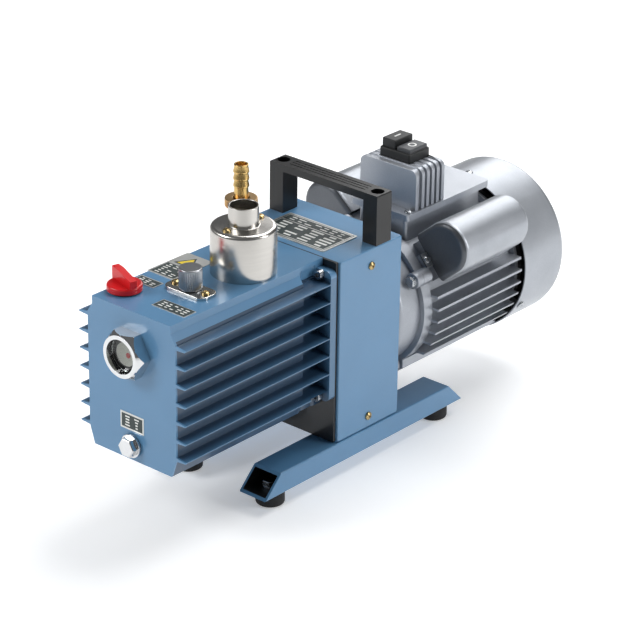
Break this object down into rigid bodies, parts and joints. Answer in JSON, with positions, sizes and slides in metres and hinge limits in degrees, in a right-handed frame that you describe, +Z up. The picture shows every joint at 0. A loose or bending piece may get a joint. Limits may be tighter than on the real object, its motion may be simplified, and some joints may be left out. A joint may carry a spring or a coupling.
{
  "type": "rotary vane vacuum pump",
  "caption": "Two-stage rotary vane vacuum pump: finned oil case with sight glass, top ports, coupling bracket with carrying handle, flange motor, foot rails.",
  "frame": {"origin": "on the floor under the middle of the machine: halfway along its length and on the shaft's upright plane", "axes": "+Z up; -Y towards the sight glass at the front of the oil case; +Y towards the motor's fan; +X to the right seen from the front"},
  "size_m": [0.2068, 0.56, 0.3102],
  "materials": {
    "blue_paint": "semi-gloss grey-blue paint",
    "black_paint": "satin black paint",
    "black_metal": "satin black powder coat",
    "rubber": "matte",
    "zinc_steel": "zinc plated",
    "polished_steel": "polished",
    "plated_plate": "satin nickel",
    "bearing_steel": "ground",
    "brass": "turned brass",
    "red_plastic": "semi-gloss moulded",
    "glass": "clear",
    "white_disc": "satin",
    "cast_iron": "machined",
    "vane": "fibre laminate",
    "felt": "felt",
    "hub": "cast",
    "silver_paint": "silver-grey paint",
    "core_steel": "laminated",
    "copper": "varnished copper",
    "fan_plastic": "matte",
    "capacitor": "drawn can",
    "switch_plastic": "satin",
    "grey_plastic": "satin",
    "washer": "annealed",
    "plates": "printed"
  },
  "bodies": {
    "pump_body": {"oil_case": "blue_paint", "pump_plate": "black_paint", "bracket": "blue_paint", "side_covers": "blue_paint", "rails": "blue_paint", "rubber_feet": "rubber", "frame_bolts": "zinc_steel", "handle": "black_metal", "socket_screws": "zinc_steel", "exhaust_body": "polished_steel", "exhaust_filter": "felt", "ballast_plate": "plated_plate", "sight_glass_nut": "polished_steel", "sight_glass_lens": "glass", "sight_glass_disc": "white_disc", "high_stage_stator": "cast_iron", "low_stage_stator": "cast_iron", "centre_plate": "cast_iron", "pump_front_cover": "cast_iron", "pump_rear_cover": "cast_iron", "shaft_seal": "rubber", "pump_bolts": "zinc_steel", "exhaust_valve": "zinc_steel", "inlet_port": "plated_plate", "front_shield": "silver_paint", "motor_frame": "silver_paint", "rear_shield": "silver_paint", "shield_bolts": "zinc_steel", "bearing_outer_rings": "bearing_steel", "stator_core": "core_steel", "stator_windings": "copper", "fan_cowl": "silver_paint", "capacitor_covers": "silver_paint", "capacitors": "capacitor", "terminal_box": "silver_paint", "cable_gland": "fan_plastic", "switch_body": "switch_plastic", "brass_screws": "brass", "motor_screws": "zinc_steel", "label_plates": "plates"},
    "rotor": {"high_stage_rotor": "cast_iron", "low_stage_rotor": "cast_iron", "vanes": "vane", "vane_springs": "zinc_steel", "coupling_halves": "hub", "coupling_spider": "rubber", "motor_rotor": "core_steel", "bearing_inner_rings": "bearing_steel", "cooling_fan": "fan_plastic"},
    "ball_sets": {"bearing_balls": "bearing_steel"},
    "ballast_pin": {"ballast_pin": "plated_plate"},
    "ballast_knob": {"ballast_knob": "plated_plate"},
    "filler_seal": {"filler_seal": "rubber"},
    "filler_cap": {"filler_cap": "red_plastic"},
    "drain_washer": {"drain_washer": "washer"},
    "drain_plug": {"drain_plug": "polished_steel"},
    "inlet_barb": {"inlet_barb": "brass"},
    "inlet_nut": {"inlet_nut": "brass"},
    "button_on": {"button_on": "switch_plastic"},
    "button_off": {"button_off": "grey_plastic"}
  },
  "joints": [
    {"name": "rotor_spin", "type": "hinge", "parent": "pump_body", "child": "rotor", "pos_m": [0, 0, 0.1308], "axis": [0, 1, 0], "continuous": true},
    {"name": "ball_roll", "type": "hinge", "parent": "pump_body", "child": "ball_sets", "pos_m": [0, 0, 0.1308], "axis": [0, 1, 0], "continuous": true},
    {"name": "ballast_lift", "type": "slide", "parent": "pump_body", "child": "ballast_pin", "axis": [0, 0, 1], "range_m": [0, 0.003]},
    {"name": "ballast_turn", "type": "hinge", "parent": "ballast_pin", "child": "ballast_knob", "pos_m": [0.01, -0.198, 0.2256], "axis": [0, 0, 1], "range_deg": [0, 720]},
    {"name": "filler_lift", "type": "slide", "parent": "pump_body", "child": "filler_seal", "axis": [0, 0, 1], "range_m": [0, 0.009]},
    {"name": "filler_turn", "type": "hinge", "parent": "filler_seal", "child": "filler_cap", "pos_m": [-0.035, -0.237, 0.2256], "axis": [0, 0, 1], "range_deg": [0, 1080]},
    {"name": "drain_out", "type": "slide", "parent": "pump_body", "child": "drain_washer", "axis": [0, -1, 0], "range_m": [0, 0.009]},
    {"name": "drain_turn", "type": "hinge", "parent": "drain_washer", "child": "drain_plug", "pos_m": [0, -0.265, 0.091], "axis": [0, -1, 0], "range_deg": [0, 2160]},
    {"name": "inlet_lift", "type": "slide", "parent": "pump_body", "child": "inlet_barb", "axis": [0, 0, 1], "range_m": [0, 0.0045]},
    {"name": "inlet_turn", "type": "hinge", "parent": "inlet_barb", "child": "inlet_nut", "pos_m": [-0.0225, -0.095, 0.2686], "axis": [0, 0, 1], "range_deg": [0, 1080]},
    {"name": "press_on", "type": "slide", "parent": "pump_body", "child": "button_on", "axis": [0, 0, -1], "range_m": [0, 0.003], "stiffness_N_per_m": 400, "springref_m": -0.001},
    {"name": "press_off", "type": "slide", "parent": "pump_body", "child": "button_off", "axis": [0, 0, -1], "range_m": [0, 0.003], "stiffness_N_per_m": 400, "springref_m": -0.001}
  ],
  "couplings": [
    {"joint": "ball_roll", "follows": "rotor_spin", "ratio": 0.3821},
    {"joint": "ballast_turn", "follows": "ballast_lift", "rad_per_m": 4188.4},
    {"joint": "filler_turn", "follows": "filler_lift", "rad_per_m": 2094.2},
    {"joint": "drain_turn", "follows": "drain_out", "rad_per_m": 4188.4},
    {"joint": "inlet_turn", "follows": "inlet_lift", "rad_per_m": 4188.4}
  ]
}
